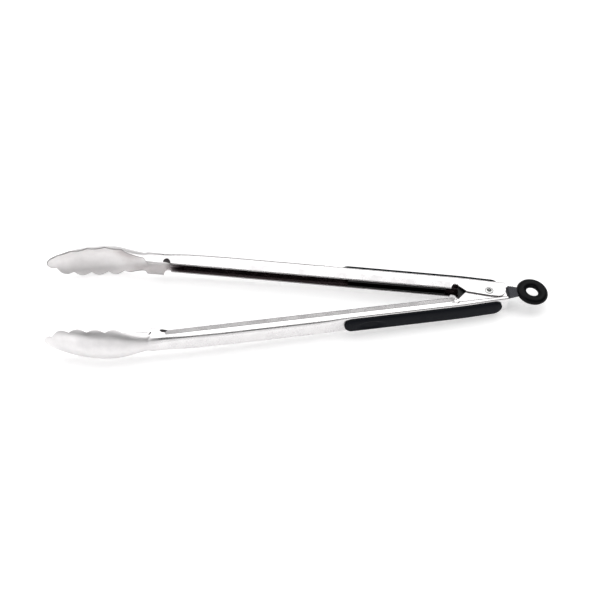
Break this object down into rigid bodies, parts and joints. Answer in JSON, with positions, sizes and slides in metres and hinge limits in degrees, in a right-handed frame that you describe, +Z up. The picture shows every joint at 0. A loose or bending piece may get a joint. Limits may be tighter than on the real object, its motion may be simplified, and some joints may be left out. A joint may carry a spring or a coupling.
{
  "type": "spring loaded kitchen tongs",
  "caption": "Long sprung kitchen tongs: two pressed steel channel arms with scalloped dished heads, soft grips and a sliding lock with a rubber pull ring, lying open on their side.",
  "frame": {"origin": "under the middle of the bounding box, on the plane of the lowest edge of the two heads", "axes": "+Z up along the hinge rivet, +X from the heads to the pull ring, +Y towards the outer arm"},
  "size_m": [0.4042, 0.1057, 0.0324],
  "materials": {
    "stainless_steel": "bright satin",
    "spring_steel": "drawn wire",
    "grip_rubber": "soft matte",
    "liner_nylon": "moulded matte",
    "slider_nylon": "moulded matte",
    "ring_rubber": "soft semi-gloss"
  },
  "bodies": {
    "hinge_core": {"hinge_rivet": "stainless_steel", "spring_spool": "liner_nylon", "torsion_spring": "spring_steel"},
    "outer_half": {"outer_arm": "stainless_steel", "outer_grip": "grip_rubber", "outer_grip_liner": "liner_nylon"},
    "inner_half": {"inner_arm": "stainless_steel", "inner_grip": "grip_rubber", "inner_grip_liner": "liner_nylon"},
    "lock": {"lock_slider": "slider_nylon", "pull_ring": "ring_rubber"}
  },
  "joints": [
    {"name": "outer_arm_hinge", "type": "hinge", "parent": "hinge_core", "child": "outer_half", "pos_m": [0.15401, 0, 0.0162], "axis": [0, 0, 1], "range_deg": [0, 6.2], "stiffness_Nm_per_rad": 0.4, "springref_deg": -10.89, "deforming": ["torsion_spring"]},
    {"name": "inner_arm_hinge", "type": "hinge", "parent": "hinge_core", "child": "inner_half", "pos_m": [0.15401, 0, 0.0162], "axis": [0, 0, -1], "range_deg": [0, 6.2], "stiffness_Nm_per_rad": 0.4, "springref_deg": -10.89, "deforming": ["torsion_spring"]},
    {"name": "lock_slide", "type": "slide", "parent": "hinge_core", "child": "lock", "axis": [1, 0, 0], "range_m": [0, 0.017]}
  ],
  "couplings": [
    {"joint": "inner_arm_hinge", "follows": "outer_arm_hinge", "ratio": 1}
  ]
}
